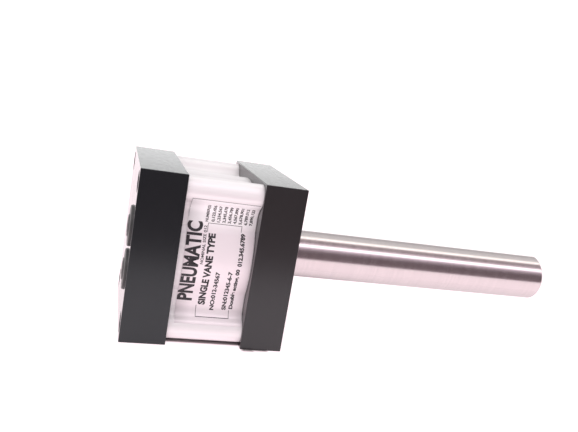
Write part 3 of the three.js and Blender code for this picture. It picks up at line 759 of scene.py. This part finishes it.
def make_retaining_ring():
    """An open snap ring with a lug and a plier hole on either side of its gap."""
    low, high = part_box("retaining_ring")
    outside = high.y
    section = [(low.x, outside), (high.x, outside), (high.x, RING_INSIDE), (low.x, RING_INSIDE)]
    ring = lathe("retaining_ring_stamped", section, segments=128, ring=True)
    start, end = low.x - OVERLAP, high.x + OVERLAP
    bm = bmesh.new()
    box_mesh(bm, (start, -RING_HALF_GAP, -outside - OVERLAP), (end, RING_HALF_GAP, 0))
    cut(ring, [object_from("cutter", bm)])
    for side in (-1, 1):
        y = side * (RING_HALF_GAP + RING_LUG)
        z = -math.sqrt((RING_INSIDE - 0.4 * MM) ** 2 - y ** 2)
        join(ring, [rod("lug", low.x, high.x, RING_LUG, y, z, segments=40)])
        cut(ring, [rod("cutter", start, end, RING_LUG_HOLE, y, z, segments=24)])
    settle(bevel(ring, 0.1 * MM, segments=2), "housing", "black_steel", ["retaining_ring"])


def make_shaft():
    """Shaft, hub and rear journal in one, with a slot for the vane and pockets for its three screws."""
    rear, tip = shaft_low.x, shaft_high.x
    hub_start, hub_end = BARREL_START + HUB_END_GAP, BARREL_END - HUB_END_GAP
    corners = [
        (rear, REAR_JOURNAL - JOURNAL_CHAMFER), (rear + JOURNAL_CHAMFER, REAR_JOURNAL),
        (hub_start, REAR_JOURNAL), (hub_start, HUB_RADIUS), (hub_end, HUB_RADIUS), (hub_end, SHAFT_RADIUS),
        (tip - TIP_CHAMFER, SHAFT_RADIUS), (tip, SHAFT_RADIUS - TIP_CHAMFER),
    ]
    shaft = lathe("shaft_ground", corners, segments=160)
    cutters = []
    for number in (1, 2, 3):
        node = f"vane_screw_{number}"
        pocket_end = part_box(node)[0].y + SCREW_HEAD_HEIGHT
        across = Matrix.Translation((centre_of(node).x, 0, 0)) @ Matrix.Rotation(math.pi / 2, 4, "Z")
        pocket = (SCREW_POCKET_START, pocket_end, SCREW_HEAD_POCKET)
        hole = (SCREW_HOLE_START, SCREW_HOLE_END, SCREW_HOLE)
        for start, end, radius in (pocket, hole):
            drill = rod("cutter", start, end, radius, segments=32)
            drill.data.transform(across)
            cutters.append(drill)
    low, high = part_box("vane_core")
    gap = FITTED_GAP
    bm = bmesh.new()
    box_mesh(bm, (low.x - gap, low.y - gap, low.z - gap), (high.x + gap, high.y, high.z + gap))
    cutters.append(object_from("cutter", bm))
    cut(shaft, cutters)
    bevel(shaft, 0.35 * MM)
    settle(shaft, "rotor", "ground_steel", ["shaft"])


make_rear_head()
make_front_head()
make_barrel()
make_label()
make_printing_and_edge_shade()
for bolt_node in TIE_BOLTS:
    make_tie_bolt(bolt_node)
for plug_node in PLUGS:
    make_port_plug(plug_node)
make_shaft_seal()
make_retaining_ring()
make_shaft()

# ---- CAD nodes that stay ----

replaced_nodes = {"rear_head", "front_head", "barrel", "label", "shaft_seal", "retaining_ring", "shaft"}
replaced_nodes.update(TIE_BOLTS + PLUGS)
for part in frame["record"]["subparts"]:
    if part["node"] not in replaced_nodes:
        kept = nodes[part["node"]]
        kept.data.materials.clear()
        kept.data.materials.append(MATERIALS[part["material_slot"]])

# ---- Camera, floor and light ----

FLOOR_HEIGHT = rear_low.z
FLOOR_HALF_SIZE = 30
FLOOR_THICKNESS = 0.01
FLOOR_GLOW = 0.95
FLOOR_RADIANCE = 1.3  # the glow and the light it returns
FLOOR_TINT = (1.0, 0.87, 0.91, 1)
# painted shadow: the floor's glow is taken away under the object, inside its outline
SHADOW_INSET = 4.6 * MM  # from the outline to the dark core of the shadow under the object
SHADOW_EDGE = 1.6 * MM
CAMERA_PLACE = (-12.1 * MM, -277.5 * MM, 70.4 * MM)
CAMERA_TURN = [math.radians(angle) for angle in (79.355, -9.806, -14.761)]
CAMERA_LENS = 39.773

camera_data = bpy.data.cameras.new("camera")
camera_data.lens = CAMERA_LENS
camera_data.sensor_width = 36
camera_data.clip_start = 0.01
camera = new_object("camera", camera_data)
camera.location = CAMERA_PLACE
camera.rotation_euler = CAMERA_TURN
scene.camera = camera


def distance_outside(finish, low, high):
    """How far a point of the floor lies outside the rectangle low..high in X and Y."""
    clamped = calculate_vector(finish.tree, "MINIMUM", finish.coordinates, (*high, 1))
    held = calculate_vector(finish.tree, "MAXIMUM", clamped, (*low, -1))
    return calculate_vector(finish.tree, "DISTANCE", finish.coordinates, held)


def make_floor():
    """White paper that glows, except where a painted shadow takes the glow away: under the object and just in
    front of the front head.
    """
    bm = bmesh.new()
    low = (-FLOOR_HALF_SIZE, -FLOOR_HALF_SIZE, FLOOR_HEIGHT - FLOOR_THICKNESS)
    box_mesh(bm, low, (FLOOR_HALF_SIZE, FLOOR_HALF_SIZE, FLOOR_HEIGHT))
    floor = object_from("floor", bm)
    finish = Finish("floor_paper", 0.7)
    finish.colour(finish.noise((3, 3, 3), 2), (0.38, 0.32, 0.335), (0.39, 0.33, 0.345))
    # painted shadow: the glow fades to nothing under the object and in strips in front of the front head
    core_low = (REAR_FACE + SHADOW_INSET, SHADOW_INSET - HALF_SIDE)
    painted_shadow_distance = distance_outside(finish, core_low, (FRONT_FACE - SHADOW_INSET, HALF_SIDE))
    for length, reach in ((5, 0.8), (11, 0.0)):  # in millimetres: the shadow gets narrower along X
        painted_shadow_strip_low = (BARREL_END + 1.5 * MM, -HALF_SIDE - reach * MM)
        painted_shadow_strip = distance_outside(finish, painted_shadow_strip_low, (BARREL_END + length * MM, HALF_SIDE))
        painted_shadow_distance = calculate(finish.tree, "MINIMUM", painted_shadow_distance, painted_shadow_strip)
    finish.set("Emission Color", FLOOR_TINT)
    finish.set("Emission Strength", map_range(finish.tree, painted_shadow_distance, 0, SHADOW_EDGE, 0, FLOOR_GLOW))
    floor.data.materials.append(finish.material)


def make_world():
    """White near the horizon and greyer overhead."""
    world = bpy.data.worlds.new("studio")
    scene.world = world
    world.use_nodes = True
    tree = world.node_tree
    height = component(tree, tree.nodes.new("ShaderNodeTexCoord").outputs["Generated"], "Z")
    greys = ((0.0, 0.60), (0.35, 0.55), (0.6, 0.36), (1.0, 0.32))
    sky = colour_ramp(tree, height, [(position, (grey, grey, grey)) for position, grey in greys])
    background = tree.nodes["Background"]
    feed(tree, background.inputs["Color"], sky)
    feed(tree, background.inputs["Strength"], 2.0)


def show_in_reflections_only(obj):
    obj.visible_camera = False
    obj.visible_diffuse = False
    obj.visible_shadow = False
    obj.visible_transmission = False
    obj.visible_volume_scatter = False


class Glow:
    """A material that only gives light."""

    def __init__(self, name):
        self.material = bpy.data.materials.new(name)
        self.material.use_nodes = True
        self.tree = self.material.node_tree
        self.tree.nodes.clear()
        self.coordinates = self.tree.nodes.new("ShaderNodeTexCoord").outputs["Object"]
        self.emission = self.tree.nodes.new("ShaderNodeEmission")
        output = self.tree.nodes.new("ShaderNodeOutputMaterial")
        self.tree.links.new(self.emission.outputs["Emission"], output.inputs["Surface"])

    def light(self, colour, strength):
        feed(self.tree, self.emission.inputs["Color"], colour)
        feed(self.tree, self.emission.inputs["Strength"], strength)


CARD_RADIUS = 0.15
CARD_FIRST, CARD_LAST = -13, 172
CARD_BRIGHTEST = 4.0

# The card's light by its angle in degrees, from level on the -Y side, over the top, toward the +Y side.
CARD_LIGHT = [
    (-13, (0.28, 0.21, 0.235)), (-5, (0.20, 0.145, 0.16)), (20, (0.19, 0.145, 0.16)),
    (32, (0.40, 0.32, 0.36)), (41, (0.8, 0.68, 0.75)), (46, (2.6, 2.3, 2.5)),
    (51, (3.6, 3.3, 3.5)), (56, (1.1, 0.95, 1.0)), (64, (0.44, 0.36, 0.39)),
    (74, (0.36, 0.30, 0.31)), (82, (0.46, 0.40, 0.40)), (88, (2.3, 2.15, 2.1)),
    (94, (2.2, 2.1, 2.0)), (100, (0.80, 0.80, 0.78)), (120, (0.83, 0.82, 0.81)),
    (132, (0.6, 0.58, 0.58)), (148, (0.6, 0.58, 0.58)), (156, (1.9, 1.9, 1.9)),
    (172, (1.9, 1.9, 1.9)),
]


def make_reflection_card():
    """An arched card round the shaft's axis, seen only in reflections."""
    bm = bmesh.new()
    rows = []
    for across, up in arc(0, 0, CARD_RADIUS, CARD_FIRST, CARD_LAST, 60):
        rows.append([bm.verts.new((x, -across, up)) for x in (-0.4, 0.9)])
    for lower, upper in zip(rows, rows[1:]):
        bm.faces.new((lower[0], lower[1], upper[1], upper[0]))
    card = object_from("reflection_card", bm)
    show_in_reflections_only(card)
    glow = Glow("card_light")
    toward_viewer = calculate(glow.tree, "MULTIPLY", component(glow.tree, glow.coordinates, "Y"), -1)
    turn = calculate(glow.tree, "ARCTAN2", component(glow.tree, glow.coordinates, "Z"), toward_viewer)
    share = map_range(glow.tree, turn, math.radians(CARD_FIRST), math.radians(CARD_LAST), 0, 1)
    stops = []
    for degrees, light in CARD_LIGHT:
        position = (degrees - CARD_FIRST) / (CARD_LAST - CARD_FIRST)
        stops.append((position, [channel / CARD_BRIGHTEST for channel in light]))
    glow.light(colour_ramp(glow.tree, share, stops), CARD_BRIGHTEST)
    card.data.materials.append(glow.material)


def make_floor_shade():
    """A painted shadow on the floor beside the shaft, on a glowing card that only reflections see."""
    # painted shadow: the card's glow is dimmed near the front head and toward the object
    near, far, end = -0.02, 0.25, 0.5
    bm = bmesh.new()
    corners = ((FRONT_FACE, near), (end, near), (end, far), (FRONT_FACE, far))
    bm.faces.new([bm.verts.new((x, y, FLOOR_HEIGHT + 0.5 * MM)) for x, y in corners])
    card = object_from("floor_shade", bm)
    show_in_reflections_only(card)
    glow = Glow("floor_shade")
    x = component(glow.tree, glow.coordinates, "X")
    y = component(glow.tree, glow.coordinates, "Y")
    along = map_range(glow.tree, x, FRONT_FACE, FRONT_FACE + 90 * MM, 0.62, 0.28, "SMOOTHSTEP")
    across = map_range(glow.tree, y, near, 0.03, 0, 1, "SMOOTHSTEP")
    shadow = calculate(glow.tree, "MULTIPLY", along, across)
    glow.light(FLOOR_TINT, calculate(glow.tree, "MULTIPLY_ADD", shadow, -FLOOR_RADIANCE, FLOOR_RADIANCE))
    card.data.materials.append(glow.material)


def make_dark_flag():
    """A dark board behind the object that only takes soft light away, so the far side has some shape."""
    bm = bmesh.new()
    corners = ((-0.4, FLOOR_HEIGHT), (0.7, FLOOR_HEIGHT), (0.7, 0.3), (-0.4, 0.3))
    bm.faces.new([bm.verts.new((x, 0.3, z)) for x, z in corners])
    flag = object_from("dark_flag", bm)
    flag.visible_camera = False
    flag.visible_glossy = False
    flag.visible_shadow = False
    finish = Finish("flag_cloth", 0.9)
    finish.colour(finish.noise((30, 30, 30), 2), (0.10, 0.09, 0.09), (0.14, 0.13, 0.13))
    flag.data.materials.append(finish.material)


def make_overhead_light():
    light = bpy.data.lights.new("overhead", "AREA")
    light.shape = "RECTANGLE"
    light.size = 2.2
    light.size_y = 2.2
    light.energy = 17
    obj = new_object("overhead", light)
    place, target = Vector((0.1, -0.1, 1.6)), Vector((0.1, 0, 0))
    obj.location = place
    obj.rotation_euler = (target - place).to_track_quat("-Z", "Y").to_euler()
    obj.visible_glossy = False


make_floor()
make_world()
make_reflection_card()
make_floor_shade()
make_dark_flag()
make_overhead_light()

scene.view_settings.view_transform = "Standard"
scene.view_settings.look = "None"
